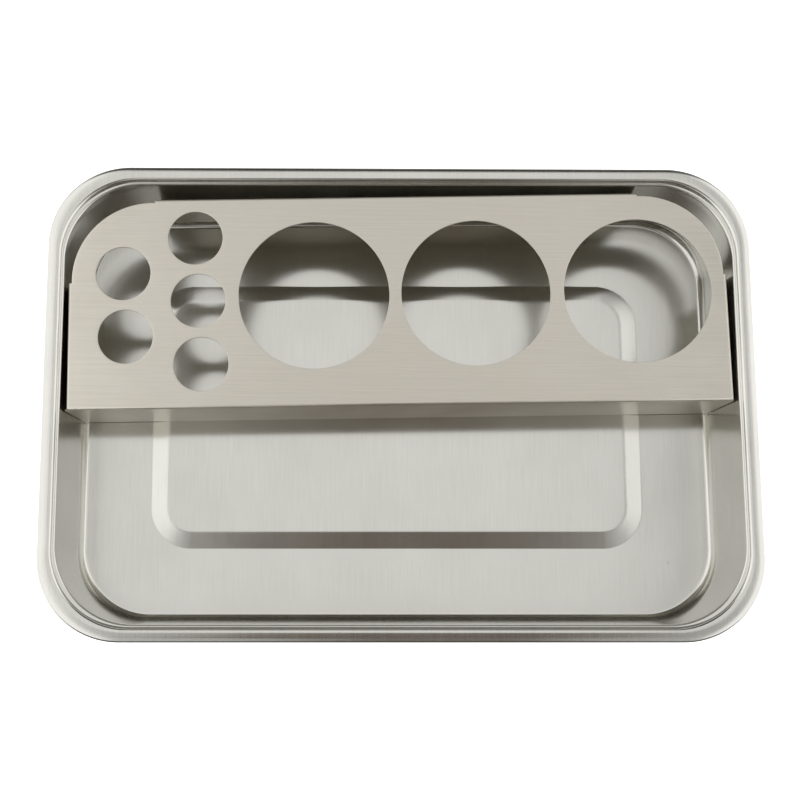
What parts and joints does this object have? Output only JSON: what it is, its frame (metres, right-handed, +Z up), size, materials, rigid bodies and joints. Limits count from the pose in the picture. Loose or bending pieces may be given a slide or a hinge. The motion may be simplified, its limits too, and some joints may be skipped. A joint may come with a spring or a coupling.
{
  "type": "treatment tray with lift-out bottle rack",
  "caption": "Deep rectangular stainless tray with a rolled rim and a folded lift-out rack whose deck has large bottle holes and small tube holes.",
  "frame": {"origin": "on the table, under the middle of the tray", "axes": "+Z up, +X along the tray's length, +Y towards the rack's side, -Y towards the open half"},
  "size_m": [0.32, 0.215, 0.0485],
  "materials": {
    "pressed_steel": "fine satin polish with a faint grain, brighter on the rolled rim",
    "folded_steel": "brushed sheet, slightly warmer and duller than the tray, bare cut edges"
  },
  "bodies": {
    "tray": {"tray": "pressed_steel"},
    "rack": {"rack_deck": "folded_steel", "rack_front_flange": "folded_steel", "rack_back_flange": "folded_steel", "rack_side_left": "folded_steel", "rack_side_right": "folded_steel"}
  },
  "joints": [
    {"name": "rack_lift", "type": "slide", "parent": "tray", "child": "rack", "axis": [0, 0, 1], "range_m": [0, 0.06]}
  ]
}
